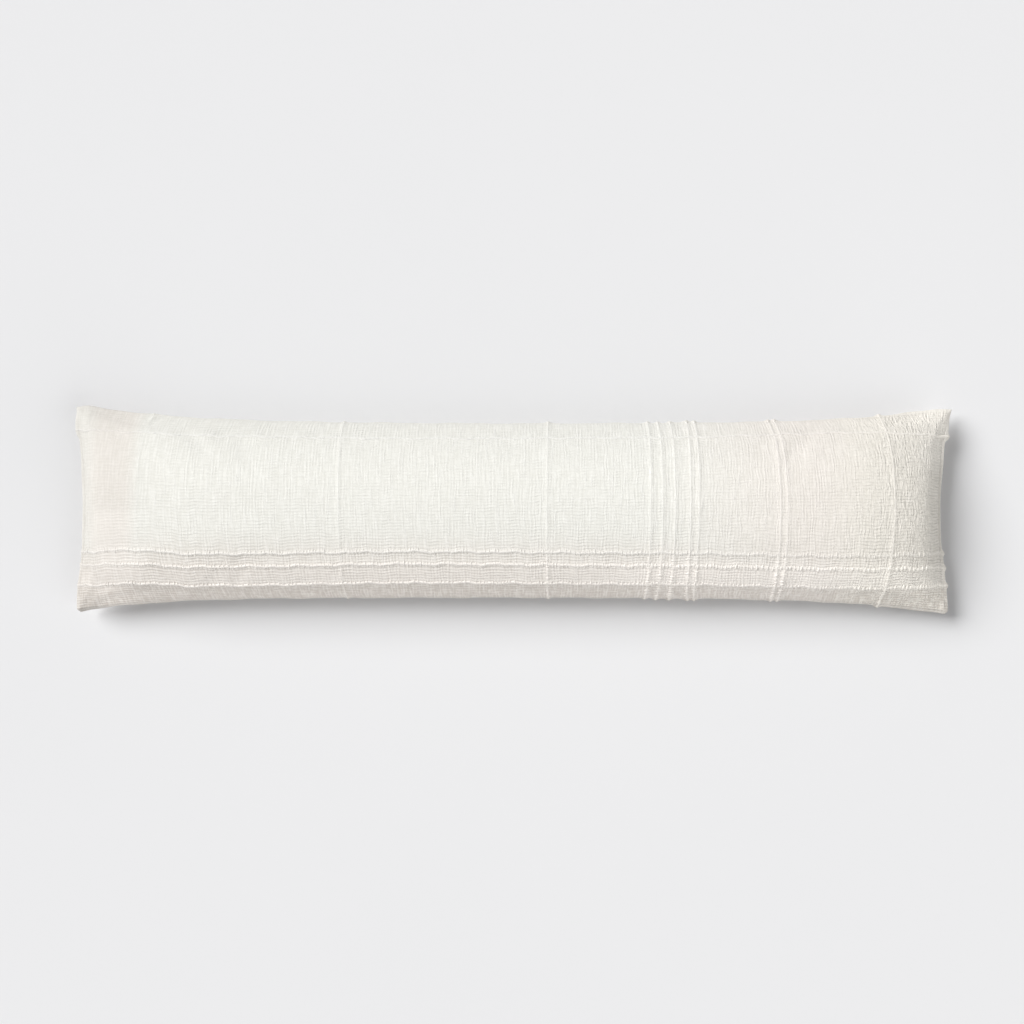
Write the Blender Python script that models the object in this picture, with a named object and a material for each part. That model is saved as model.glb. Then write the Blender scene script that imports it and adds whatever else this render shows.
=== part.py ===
"""Lumbar pillow of 60 by 14 inches, a filled cushion lying on its back.

The cover is two oblong panels sewn together at their rim. A point of a panel has a flat
place on it, along its length and across its width, and every point of the filled pillow is
worked out from such a flat place. Metres, +Z up, +X along the length. The panel on top has
thick cords woven into it, which stand proud of the cloth.
"""
import math

import bmesh
import bpy
import numpy as np

# The flat panels, measured from seam to seam
PANEL_LENGTH = 1.524
PANEL_WIDTH = 0.3556
HALF_LENGTH = PANEL_LENGTH / 2
HALF_WIDTH = PANEL_WIDTH / 2

# The turned-in seam all round: a narrow lip, as thick as its layers of cloth
LIP_WIDTH = 0.006
LIP_THICKNESS = 0.003

# Section across the middle: the slope of the cloth grows from the crown to the side seams
SEAM_SLOPE = math.radians(81.5)
CROWN_SHARE = 0.42
CROWN_POWER = 4

# How the section fills out with the distance from an end
FILL_REACH = 0.100
FILL_POWER = 0.8

# Profile down the middle of the length: steep at the end seam, level further in
END_SLOPE = 1.5
END_REACH = 0.055

# Height of the seam above the floor, at mid-length, at mid-end and at the corners
SEAM_HEIGHT = 0.058
END_SEAM_HEIGHT = 0.054
END_SAG_REACH = 0.120
CORNER_DROP = 0.014
CORNER_REACH = 0.090

# How far the side seams draw up along the length, and the ends' middles draw in
SEAM_SHORTENING = 0.0085
SHORTENING_POWER = 2.5
RIGHT_DRAW_IN = 0.020
LEFT_DRAW_IN = 0.018

# Corners as the seam was turned: how far each stands out along the length and the width
CORNERS = {
    ("right", "far"): {"along": 0.0042, "across": -0.0020},
    ("right", "near"): {"along": -0.0030, "across": 0.0000},
    ("left", "far"): {"along": -0.0028, "across": -0.0045},
    ("left", "near"): {"along": -0.0035, "across": 0.0015},
}
TIP_REACH = 0.018

# By the thin long cord the weave is slacker, so the ends stand out there in a step
FLARE = 0.0035
FLARE_DEPTH = 0.020
FLARE_START = 0.121
FLARE_STEP = 0.008
FLARE_FADE_START = 0.140
FLARE_FADE = 0.030

# The long axis isn't quite straight: each end lies a little to one side
LEFT_BOW = 0.0052
RIGHT_BOW = -0.0008

# Where the weight presses the back flat, the cloth turns up from the floor over this height
FLOOR_BLEND = 0.005

# Cords woven across the width: flat place along the length at the far, middle and near
# part of the panel, half-width at the foot, and height of the crest
CROSS_CORDS = (
    {"far": -0.6185, "middle": -0.6255, "near": -0.6160, "half": 0.0025, "height": 0.0012},
    {"far": -0.2880, "middle": -0.2885, "near": -0.2825, "half": 0.0030, "height": 0.0020},
    {"far": 0.0615, "middle": 0.0575, "near": 0.0615, "half": 0.0030, "height": 0.0018},
    {"far": 0.2315, "middle": 0.2295, "near": 0.2265, "half": 0.0035, "height": 0.0026},
    {"far": 0.2487, "middle": 0.2495, "near": 0.2458, "half": 0.0035, "height": 0.0026},
    {"far": 0.2697, "middle": 0.2700, "near": 0.2656, "half": 0.0035, "height": 0.0026},
    {"far": 0.2985, "middle": 0.2955, "near": 0.2930, "half": 0.0035, "height": 0.0026},
    {"far": 0.3116, "middle": 0.3095, "near": 0.3048, "half": 0.0035, "height": 0.0026},
    {"far": 0.4390, "middle": 0.4447, "near": 0.4394, "half": 0.0032, "height": 0.0024},
    {"far": 0.4496, "middle": 0.4566, "near": 0.4518, "half": 0.0032, "height": 0.0024},
    {"far": 0.6300, "middle": 0.6370, "near": 0.6275, "half": 0.0035, "height": 0.0026},
)

# Cords woven along the length, from the far one to the near one: flat place across the
# width at each of the stations along the length, half-width at the foot, height of the crest
STATIONS = (-0.762, -0.630, -0.540, -0.150, 0.240, 0.570, 0.762)
LONG_CORDS = (
    {"across": (0.1330, 0.1310, 0.1285, 0.1265, 0.1285, 0.1370, 0.1280),
     "half": 0.0025, "height": 0.0012},
    {"across": (-0.0760, -0.0685, -0.0744, -0.0680, -0.0705, -0.0755, -0.0720),
     "half": 0.0035, "height": 0.0026},
    {"across": (-0.0980, -0.0930, -0.0974, -0.0900, -0.0930, -0.0983, -0.0965),
     "half": 0.0035, "height": 0.0026},
    {"across": (-0.1330, -0.1280, -0.1345, -0.1265, -0.1295, -0.1355, -0.1280),
     "half": 0.0035, "height": 0.0028},
)

# Spacing of the grid's lines: even steps in the middle, finer ones towards the rim
MIDDLE_STEP = 0.042
ACROSS_STEP = 0.022
RIM_STEPS = (0.0, LIP_WIDTH, 0.010, 0.016, 0.024, 0.034, 0.048, 0.068, 0.094)
SIDE_RIM_STEPS = (0.0, LIP_WIDTH, 0.011, 0.018, 0.028)
LINE_CLEARANCE = 0.0045

CLOTH_COLOUR = (0.84, 0.83, 0.79, 1.0)
CLOTH_ROUGHNESS = 0.92

PROFILE_STEPS = 60
NORMAL_STEP = 0.0005


def remove_everything():
    for old in list(bpy.data.objects):
        bpy.data.objects.remove(old, do_unlink=True)


def mean_turn(slope_at, span):
    """Mean cosine and sine of a slope over the shares 0 to 1 of a span."""
    shares = (np.arange(PROFILE_STEPS) + 0.5) / PROFILE_STEPS
    slopes = slope_at(shares * span)
    return float(np.cos(slopes).mean()), float(np.sin(slopes).mean())


def side_slope(share):
    """Slope of the full section at a share 0 to 1 of the way from crown to side seam."""
    return SEAM_SLOPE * (CROWN_SHARE * share + (1 - CROWN_SHARE) * share ** CROWN_POWER)


def end_slope(distance):
    """Slope of the mid-length profile at a distance along the cloth from the end seam."""
    return END_SLOPE * np.exp(-distance / END_REACH)


def fullness(distance):
    """Share 0 to 1 of the section's full roundness, at a distance from an end."""
    return 1 - math.exp(-(distance / FILL_REACH) ** FILL_POWER)


def reach_and_rise(distance):
    """Level run and height of the mid-length profile at a distance from the end seam."""
    run, rise = mean_turn(end_slope, distance)
    return distance * run, distance * rise


CROWN_HEIGHT = HALF_WIDTH * mean_turn(side_slope, 1)[1]
FULL_RUN, FULL_RISE = reach_and_rise(HALF_LENGTH)
END_DRAW_IN = HALF_LENGTH - FULL_RUN


def crown_share(share):
    """Bulge at a share of the half-width, as a share 0 to 1 of the crown's."""
    drop = HALF_WIDTH * share * mean_turn(side_slope, share)[1]
    return 1 - drop / CROWN_HEIGHT


def place_across(share, distance):
    """Level distance from the long axis to a share of the half-width."""
    strength = fullness(distance)
    run = mean_turn(lambda part: strength * side_slope(part), share)[0]
    return HALF_WIDTH * share * run


def smooth_step(part):
    """Smooth rise from 0 to 1 as a part goes from 0 to 1."""
    part = min(max(part, 0.0), 1.0)
    return part * part * (3 - 2 * part)


def corner_tip(along, across):
    """How far the nearest corner's own shape moves a flat place outwards."""
    name = ("right" if along > 0 else "left", "far" if across > 0 else "near")
    away = math.hypot(HALF_LENGTH - abs(along), HALF_WIDTH - abs(across))
    strength = math.exp(-(away / TIP_REACH) ** 2)
    return CORNERS[name]["along"] * strength, CORNERS[name]["across"] * strength


def band_flare(distance, across):
    """How far the slack band by the thin long cord stands out at an end."""
    rise = smooth_step((across - FLARE_START) / FLARE_STEP + 0.5)
    fade = 1 - smooth_step((across - FLARE_FADE_START) / FLARE_FADE)
    return FLARE * rise * fade * math.exp(-distance / FLARE_DEPTH)


def cloth_point(along, across, face):
    """Point of the filled pillow at a flat place; face is 1 on top and -1 at the back."""
    share = min(abs(across) / HALF_WIDTH, 1.0)
    distance = max(HALF_LENGTH - abs(along), 0.0)
    towards_end = abs(along) / HALF_LENGTH
    inner_distance = max(distance - LIP_WIDTH, 0.0)
    inner_share = min(share * HALF_WIDTH / (HALF_WIDTH - LIP_WIDTH), 1.0)

    run, rise = reach_and_rise(inner_distance)
    draw_in = RIGHT_DRAW_IN if along > 0 else LEFT_DRAW_IN
    middle_draw = (END_DRAW_IN - inner_distance + run) * (draw_in + SEAM_SHORTENING) / END_DRAW_IN
    seam_draw = SEAM_SHORTENING * towards_end ** SHORTENING_POWER
    drawn = seam_draw * share ** 2 + middle_draw * (1 - share ** 2)
    tip_along, tip_across = corner_tip(along, across)
    outward = band_flare(distance, across) + tip_along - drawn
    x = math.copysign(abs(along) + outward, along)

    bow = (RIGHT_BOW if along > 0 else LEFT_BOW) * towards_end ** 2
    y = math.copysign(place_across(share, distance) + tip_across, across) + bow

    sag = (SEAM_HEIGHT - END_SEAM_HEIGHT) * math.exp(-distance / END_SAG_REACH)
    droop = CORNER_DROP * math.exp(-distance / CORNER_REACH) * share ** 3
    bulge = LIP_THICKNESS / 2 + CROWN_HEIGHT * crown_share(inner_share) * rise / FULL_RISE
    z = SEAM_HEIGHT - sag - droop + face * bulge
    return np.array((x, y, pressed_flat(z)))


def pressed_flat(height):
    """Height above the floor of a point of the back that the floor holds up."""
    if height <= -FLOOR_BLEND:
        return 0.0
    if height < FLOOR_BLEND:
        return (height + FLOOR_BLEND) ** 2 / (4 * FLOOR_BLEND)
    return height


def cloth_normal(along, across):
    """Outward direction of the top panel at a flat place."""
    left = cloth_point(max(along - NORMAL_STEP, -HALF_LENGTH), across, 1)
    right = cloth_point(min(along + NORMAL_STEP, HALF_LENGTH), across, 1)
    near = cloth_point(along, max(across - NORMAL_STEP, -HALF_WIDTH), 1)
    far = cloth_point(along, min(across + NORMAL_STEP, HALF_WIDTH), 1)
    normal = np.cross(right - left, far - near)
    return normal / np.linalg.norm(normal)


def cross_lean(cord, across):
    """How far a cross cord leans along the length, away from its place at mid-width."""
    share = across / HALF_WIDTH
    slant = (cord["far"] - cord["near"]) / 2
    bend = (cord["far"] + cord["near"]) / 2 - cord["middle"]
    return slant * share + bend * share ** 2


def long_cord_place(cord, along):
    """Flat place across the width of a long cord, at a place along the length."""
    last = len(STATIONS) - 2
    index = min(max(int(np.searchsorted(STATIONS, along)) - 1, 0), last)
    part = (along - STATIONS[index]) / (STATIONS[index + 1] - STATIONS[index])
    start, end = cord["across"][index], cord["across"][index + 1]
    return start + (end - start) * smooth_step(part)


def ridge(offset, cord):
    """Height of a cord's rounded ridge at a distance from its middle line."""
    part = min(abs(offset) / cord["half"], 1.0)
    return cord["height"] * (1 - part ** 2)


def cord_height(along, across):
    """How far the cords raise the top panel at a flat place."""
    heights = []
    for cord in CROSS_CORDS:
        heights.append(ridge(along - cord["middle"] - cross_lean(cord, across), cord))
    for cord in LONG_CORDS:
        heights.append(ridge(across - long_cord_place(cord, along), cord))
    return max(heights)


def with_fill_lines(lines, steps):
    """Cord lines, with each fill line that keeps clear of them, in order."""
    kept = [step for step in steps if all(abs(step - line) > LINE_CLEARANCE for line in lines)]
    return sorted(list(lines) + kept)


def three_lines(middle, half):
    """Grid lines at the two feet and the crest of a cord."""
    return [middle - half, middle, middle + half]


def spread_lines(half, rim_steps, step):
    """Fill lines over a panel: even steps between the finer ones near both rims."""
    inner = half - rim_steps[-1]
    lines = list(np.linspace(-inner, inner, round(2 * inner / step) + 1))
    for rim in rim_steps[:-1]:
        lines += [rim - half, half - rim]
    return lines


def column_lines():
    """Flat places along the length of the grid's columns, at mid-width."""
    cords = []
    for cord in CROSS_CORDS:
        cords += three_lines(cord["middle"], cord["half"])
    return with_fill_lines(cords, spread_lines(HALF_LENGTH, RIM_STEPS, MIDDLE_STEP))


def row_lines():
    """Flat places across the width of the grid's rows, at mid-length."""
    cords = []
    for cord in LONG_CORDS:
        cords += three_lines(long_cord_place(cord, 0), cord["half"])
    return with_fill_lines(cords, spread_lines(HALF_WIDTH, SIDE_RIM_STEPS, ACROSS_STEP))


def column_lean(column, across):
    """How far a column leans along the length, shared out between its nearest cords."""
    spots = [-HALF_LENGTH] + [cord["middle"] for cord in CROSS_CORDS] + [HALF_LENGTH]
    leans = [0.0] + [cross_lean(cord, across) for cord in CROSS_CORDS] + [0.0]
    return float(np.interp(column, spots, leans))


def row_sway(row, along):
    """How far a row sways across the width, shared out between its nearest cords."""
    cords = LONG_CORDS[::-1]
    middles = [long_cord_place(cord, 0) for cord in cords]
    sways = [long_cord_place(cord, along) - middle for cord, middle in zip(cords, middles)]
    return float(np.interp(row, [-HALF_WIDTH] + middles + [HALF_WIDTH], [0.0] + sways + [0.0]))


def flat_grid():
    """Flat places of all the grid's points, as one array of columns by rows."""
    columns = column_lines()
    rows = row_lines()
    places = np.zeros((len(columns), len(rows), 2))
    for i, column in enumerate(columns):
        for j, row in enumerate(rows):
            places[i, j] = (column + column_lean(column, row), row + row_sway(row, column))
    return places


def add_panel(bm, places, face):
    """One panel of the cover as a grid of faces, moved into its filled shape."""
    across_count = places.shape[1]
    grid = bmesh.ops.create_grid(
        bm, x_segments=places.shape[0] - 1, y_segments=across_count - 1, size=1.0
    )
    order = sorted(grid["verts"], key=lambda vert: (round(vert.co.x, 5), round(vert.co.y, 5)))
    for index, vert in enumerate(order):
        along, across = places[index // across_count, index % across_count]
        point = cloth_point(along, across, face)
        if face > 0:
            point = point + cloth_normal(along, across) * cord_height(along, across)
        vert.co = point
    if face < 0:
        faces = {panel_face for vert in order for panel_face in vert.link_faces}
        bmesh.ops.reverse_faces(bm, faces=list(faces))


def sew_panels(bm):
    """Join the two panels' rims with a narrow strip, the edge of the seam."""
    rim = [edge for edge in bm.edges if edge.is_boundary]
    bmesh.ops.bridge_loops(bm, edges=rim)
    bmesh.ops.recalc_face_normals(bm, faces=bm.faces)


def centre_over_origin(mesh):
    """Move the mesh so that its box stands centred over the origin, on the floor."""
    points = np.array([vert.co for vert in mesh.vertices])
    middle = (points.min(axis=0) + points.max(axis=0)) / 2
    for vert in mesh.vertices:
        vert.co.x -= middle[0]
        vert.co.y -= middle[1]


def cloth_material():
    material = bpy.data.materials.new("cream_slub_cotton")
    material.use_nodes = True
    shader = material.node_tree.nodes["Principled BSDF"]
    shader.inputs["Base Color"].default_value = CLOTH_COLOUR
    shader.inputs["Roughness"].default_value = CLOTH_ROUGHNESS
    shader.inputs["Metallic"].default_value = 0.0
    return material


def build_pillow():
    places = flat_grid()
    bm = bmesh.new()
    add_panel(bm, places, 1)
    add_panel(bm, places, -1)
    sew_panels(bm)
    mesh = bpy.data.meshes.new("pillow")
    bm.to_mesh(mesh)
    bm.free()
    centre_over_origin(mesh)
    mesh.shade_smooth()
    mesh.materials.append(cloth_material())
    pillow = bpy.data.objects.new("pillow", mesh)
    bpy.context.scene.collection.objects.link(pillow)
    return pillow


def main():
    remove_everything()
    build_pillow()


main()
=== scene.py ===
"""Looks of the lumbar pillow: a slub cotton cover with thick cords woven into its top panel.

A point of a panel has a flat place on it, along its length and across its width, as it lay on
the cutting table. The filled shape is worked out from such flat places, as in the part's own
source. A woven line, a column or a row of the cloth, keeps its place along its whole run, and
leans and sways over the panel with the cords. The cords, their crossing yarns and the slubs
are laid along woven lines. Metres, +Z up, +X along the length.
"""
import math

import bpy
import numpy as np
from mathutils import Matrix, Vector


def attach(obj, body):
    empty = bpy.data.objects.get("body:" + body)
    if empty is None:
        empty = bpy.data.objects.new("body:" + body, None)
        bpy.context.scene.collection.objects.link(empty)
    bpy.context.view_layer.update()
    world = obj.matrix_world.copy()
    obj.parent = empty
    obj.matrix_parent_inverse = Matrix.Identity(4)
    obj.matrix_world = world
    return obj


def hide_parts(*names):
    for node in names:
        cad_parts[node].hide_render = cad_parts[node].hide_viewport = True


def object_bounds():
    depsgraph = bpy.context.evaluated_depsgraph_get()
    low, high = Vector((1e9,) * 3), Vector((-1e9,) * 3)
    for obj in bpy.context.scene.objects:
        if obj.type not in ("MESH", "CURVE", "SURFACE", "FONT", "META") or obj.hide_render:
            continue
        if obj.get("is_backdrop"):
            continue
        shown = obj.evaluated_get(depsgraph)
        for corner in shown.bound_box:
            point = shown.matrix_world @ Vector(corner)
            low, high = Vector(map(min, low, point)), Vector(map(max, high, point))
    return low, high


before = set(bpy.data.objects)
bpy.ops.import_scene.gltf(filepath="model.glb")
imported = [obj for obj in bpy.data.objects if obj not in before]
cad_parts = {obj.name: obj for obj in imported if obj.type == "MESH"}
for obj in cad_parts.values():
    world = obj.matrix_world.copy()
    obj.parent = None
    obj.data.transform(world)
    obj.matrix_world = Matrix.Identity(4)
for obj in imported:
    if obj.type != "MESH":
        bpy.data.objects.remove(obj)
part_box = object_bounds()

# The flat panels, measured from seam to seam, and the middle of the part's box
PANEL_LENGTH = 1.524
PANEL_WIDTH = 0.3556
HALF_LENGTH = PANEL_LENGTH / 2
HALF_WIDTH = PANEL_WIDTH / 2
BOX_MIDDLE = np.array((0.0035, 0.00045, 0.0))

# The filled shape, with the same numbers as the part's own solid
LIP_WIDTH = 0.006
LIP_THICKNESS = 0.003
SEAM_SLOPE = math.radians(81.5)
CROWN_SHARE = 0.42
CROWN_POWER = 4
FILL_REACH = 0.100
FILL_POWER = 0.8
END_SLOPE = 1.5
END_REACH = 0.055
SEAM_HEIGHT = 0.058
END_SEAM_HEIGHT = 0.054
END_SAG_REACH = 0.120
CORNER_DROP = 0.014
CORNER_REACH = 0.090
SEAM_SHORTENING = 0.0085
SHORTENING_POWER = 2.5
RIGHT_DRAW_IN = 0.020
LEFT_DRAW_IN = 0.018
TIP_REACH = 0.018
FLARE = 0.0035
FLARE_DEPTH = 0.020
FLARE_START = 0.121
FLARE_STEP = 0.008
FLARE_FADE_START = 0.140
FLARE_FADE = 0.030
LEFT_BOW = 0.0052
RIGHT_BOW = -0.0008
FLOOR_BLEND = 0.005
PROFILE_STEPS = 60

# Corners as the seam was turned: how far each stands out, and the radius it is rounded to
CORNERS = {
    ("right", "far"): {"along": 0.0042, "across": -0.0020, "radius": 0.0015},
    ("right", "near"): {"along": -0.0030, "across": 0.0000, "radius": 0.0060},
    ("left", "far"): {"along": -0.0028, "across": -0.0045, "radius": 0.0020},
    ("left", "near"): {"along": -0.0035, "across": 0.0015, "radius": 0.0070},
}

# Cords woven across the width: flat place along the length at the far, middle and near part
# of the panel, and the yarn's radius. The swing is how far its last stretch runs aside by the
# near seam, and a knot has a place across the width and a share by which the yarn is thicker.
CROSS_CORDS = (
    {"far": -0.6185, "middle": -0.6255, "near": -0.6160, "radius": 0.0008},
    {"far": -0.2880, "middle": -0.2885, "near": -0.2825, "radius": 0.0019},
    {"far": 0.0615, "middle": 0.0575, "near": 0.0615, "radius": 0.0020},
    {"far": 0.2315, "middle": 0.2295, "near": 0.2265, "radius": 0.0025,
     "knots": ((-0.144, 0.9),)},
    {"far": 0.2487, "middle": 0.2495, "near": 0.2458, "radius": 0.0024,
     "knots": ((-0.158, 0.5),)},
    {"far": 0.2697, "middle": 0.2700, "near": 0.2656, "radius": 0.0025, "swing": 0.003,
     "knots": ((-0.030, 0.7), (-0.158, 0.9))},
    {"far": 0.2985, "middle": 0.2955, "near": 0.2930, "radius": 0.0026, "swing": 0.008,
     "knots": ((-0.092, 0.4), (-0.146, 0.5))},
    {"far": 0.3116, "middle": 0.3095, "near": 0.3048, "radius": 0.0027, "swing": 0.007,
     "knots": ((-0.106, 0.4), (-0.138, 0.5), (-0.156, 0.8))},
    {"far": 0.4390, "middle": 0.4447, "near": 0.4394, "radius": 0.0024, "swing": 0.006,
     "knots": ((-0.104, 0.6),)},
    {"far": 0.4496, "middle": 0.4566, "near": 0.4518, "radius": 0.0025, "swing": 0.004,
     "knots": ((-0.112, 0.6), (-0.160, 0.6))},
    {"far": 0.6330, "middle": 0.6370, "near": 0.6275, "radius": 0.0027, "swing": 0.004,
     "knots": ((-0.091, 0.9), (-0.148, 0.4))},
)

# How late a swing sets in, how long a knot is and the share of it that thickens the yarn
# itself, and how much thicker the cross cords get on the near side of the second long cord
SWING_POWER = 5
KNOT_LENGTH = 0.0050
KNOT_YARN_SHARE = 0.5
NEAR_THICKENING = 0.2
THICKENING_START = -0.068
THICKENING_FADE = 0.030

# Cords woven along the length, from the far one to the near one: flat place across the width
# at each of the stations along the length, and the yarn's radius. A cord sinks into the
# crinkled cloth towards the right end, and its crossing yarns have a strength.
STATIONS = (-0.762, -0.630, -0.540, -0.150, 0.240, 0.570, 0.762)
LONG_CORDS = (
    {"across": (0.1330, 0.1310, 0.1285, 0.1265, 0.1285, 0.1370, 0.1280),
     "radius": 0.0027, "sinks": 0.0, "crossed": 0.0},
    {"across": (-0.0760, -0.0685, -0.0744, -0.0680, -0.0705, -0.0755, -0.0720),
     "radius": 0.0026, "sinks": 0.30, "crossed": 1.0},
    {"across": (-0.0980, -0.0930, -0.0974, -0.0900, -0.0930, -0.0983, -0.0965),
     "radius": 0.0026, "sinks": 0.26, "crossed": 1.5},
    {"across": (-0.1330, -0.1280, -0.1345, -0.1265, -0.1295, -0.1355, -0.1280),
     "radius": 0.0030, "sinks": 0.31, "crossed": 1.3},
)

# How a long cord wanders about its line: wavelength and size of each wave, and the share of
# it for the straighter cords across the width
WANDER_WAVES = ((0.083, 0.0009), (0.041, 0.0008), (0.019, 0.0004))
CROSS_WANDER = 0.3

# The cloth crinkles more and more towards the right end, and is calm by the left end
CRINKLE_START = -0.20
CRINKLE_END = 0.68
CALM_START = -0.62
CALM_FADE = 0.06

# The cover's grid: spacing of its lines over the panel, near a rim and beside a cord, how far
# apart they stay, and how near two places count as one
GRID_STEP = 0.0044
RIM_STEPS = (0.0, 0.0012, 0.0028, 0.0045, LIP_WIDTH, 0.0078, 0.0105, 0.014)
CORD_STEPS = (-0.0050, -0.0030, -0.0015, 0.0, 0.0015, 0.0030, 0.0050)
LINE_CLEARANCE = 0.0018
SAME_PLACE = 1e-9

# The back panel's place beside the top one on the UV map
BACK_PANEL_SHIFT = 0.5

# The seam: how far its edge rolls out, how far the lip droops all round and by how much more
# at the near side, and how deep and wide the stitching cuts in
SEAM_ROLL = 0.0005
LIP_DROOP = 0.0034
LIP_DROOP_POWER = 2
NEAR_DROOP = 0.0075
NEAR_DROOP_POWER = 1.3
STITCH_DEPTH = 0.0003
STITCH_WIDTH = 0.0022

# How far the end of a cord pushes the seam's edge out, less at the left end, and how wide the
# push is, as shares of the yarn's radius. The edge has slow waves, each with a wavelength and
# a size, and their crests slant across the pillow.
END_BUMP = 1.3
LEFT_END_BUMP = 0.3
END_BUMP_WIDTH = 1.9
EDGE_WAVES = ((0.131, 0.0007), (0.057, 0.0004))
EDGE_WAVE_SLANT = 0.7

# How far the cloth swells over a cord across and along the length, as shares of the yarn's
# radius, how far the yarn shows above the swollen cloth, and how much less of each there is
# for a long cord where the cloth is crinkled or calm
SWELL_SHARE = 0.34
LONG_SWELL_SHARE = 0.36
CRINKLED_SWELL_LOSS = 0.08
CALM_SWELL_LOSS = 0.14
SWELL_WIDTH = 1.6
CORD_CREST = 0.11
LONG_CREST = 0.42
CALM_CREST_LOSS = 0.18
VISIBLE_SHARE = 0.85

# Folds and dents, listed one by one: flat place, direction along the cloth in degrees, length
# and width, and height
FOLDS = (
    {"place": (-0.618, 0.166), "turn": 62, "size": (0.016, 0.0028), "height": 0.0008},
    {"place": (-0.607, 0.163), "turn": 55, "size": (0.014, 0.0026), "height": -0.0014},
    {"place": (-0.745, 0.128), "turn": 8, "size": (0.022, 0.0050), "height": -0.0008},
    {"place": (-0.735, 0.150), "turn": 78, "size": (0.020, 0.0050), "height": 0.0015},
    {"place": (0.742, 0.125), "turn": -12, "size": (0.020, 0.0045), "height": -0.0012},
    {"place": (0.738, 0.150), "turn": 60, "size": (0.020, 0.0045), "height": 0.0012},
    {"place": (0.735, -0.158), "turn": -55, "size": (0.022, 0.0050), "height": -0.0018},
    {"place": (-0.735, -0.160), "turn": 48, "size": (0.022, 0.0050), "height": -0.0016},
)

# Puckers from filling the cover, by cloth simulation: spacing of its grid, number of frames,
# how narrow and how wide a pucker is, the most that a point moves, the share kept, and how
# far from a seam and from the floor they are whole
PUCKER_STEP = 0.0085
PUCKER_FRAMES = 20
PUCKER_NARROW = 0.006
PUCKER_WIDE = 0.030
PUCKER_CAP = 0.004
PUCKER_SHARE = 0.5
PUCKER_FADE = 0.035
PUCKER_FLOOR_FADE = 0.008
PUCKER_CLOTH = {
    "quality": 6, "mass": 0.25, "tension_stiffness": 25, "compression_stiffness": 25,
    "shear_stiffness": 8, "bending_stiffness": 0.6,
    "use_pressure": True, "uniform_pressure_force": 4,
}

# Yarns: how finely they are drawn along and around, and how uneven they are, with nubs at a
# pitch and slubs at random, about 9 mm or 110 to a metre
YARN_STEP = 0.0016
SLUB_STEP = 0.0035
CORD_YARN = {
    "Step": YARN_STEP, "Nub Pitch": 0.0072, "Nub Depth": 0.06, "Slub Depth": 0.45,
    "Sides": 10, "Seed": 3,
}
LONG_CORD_YARN = {**CORD_YARN, "Nub Depth": 0.15, "Seed": 8}
SLUB_YARN = {
    "Step": SLUB_STEP, "Nub Pitch": 0.01, "Nub Depth": 0.0, "Slub Depth": 0.15,
    "Sides": 6, "Seed": 5,
}
CROSSING_YARN = {**SLUB_YARN, "Step": 0.0014}
UNEVEN_SCALE = 110.0
NUB_SHIFT = 1.6
NUB_LEVEL = 0.6

# Yarns that cross a cord: half length in radii of the cord, their own radius, how far they lie
# off their place, slant and stand up, how soon they dive beside the cord, and how deep they end
CROSSING_SEED = 12
CROSSING_REACH = (1.5, 2.5)
CROSSING_RADIUS = (0.0012, 0.0021)
CROSSING_SHIFT = 0.0006
CROSSING_SLANT = 0.0012
CROSSING_RISE = (0.0003, 0.0010)
CROSSING_DIVE = 1.3
CROSSING_SINK = 0.0001
CROSSING_STEP = 0.0012

# Where they cross: how far inside the two seams, and how far apart. Over the long cords their
# strength grows from left to right, and over the cross cords from far to near.
OVER_LONG = {"start": 0.006, "stop": 0.004, "pitch": (0.0042, 0.0098)}
OVER_CROSS = {"start": 0.004, "stop": 0.010, "pitch": (0.0050, 0.0085)}
LEFT_STRENGTH = 0.60
FAR_STRENGTH = 0.20
NEAR_STRENGTH = 1.10
NEAR_START = -0.045
NEAR_FADE = 0.050

# Slubs: how many, half length, radius and height, and how much shorter and higher they are
# where the cloth crinkles; how they sway, how far inside the seams they lie, how deep they
# end, and the least share of its radius that a short yarn keeps at its tips, squared
SLUB_SEED = 5
SLUBS = {
    "upright": {
        "count": 1500, "reach": (0.006, 0.032), "shorter": 0.014,
        "radius": (0.0009, 0.0016), "height": (0.00012, 0.00034), "higher": 0.8,
    },
    "level": {
        "count": 700, "reach": (0.006, 0.022), "shorter": 0.0,
        "radius": (0.0007, 0.0013), "height": (0.00010, 0.00026), "higher": 0.0,
    },
}
SLUB_SWAY_LENGTH = (0.009, 0.015)
SLUB_SWAY = 0.0002
CRINKLED_SLUB_SWAY = 0.0004
SLUB_MARGIN = 0.012
SLUB_SINK = 0.00008
LEAST_TAPER = 0.02

# The drawn weave: spacing of its upright and level yarns, and how far they sway
WARP_PITCH = 0.0052
WEFT_PITCH = 0.0050
WARP_SWAY = 0.003
CRINKLED_WARP_SWAY = 0.004
WEFT_SWAY = 0.002

# Streaks of the weave: size along and across the panel in mm, detail, and seed
STREAKS = {
    "warp_sway": (16, 30, 1, 3.1),
    "weft_sway": (30, 16, 1, 7.7),
    "fat_warp": (3.4, 36, 2, 1.3),
    "fat_weft": (20, 3.2, 2, 5.9),
    "crepe": (3.3, 11, 2, 9.2),
    "patch": (45, 60, 1, 4.4),
    "blotch": (9, 6, 2, 8.1),
}
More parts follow.
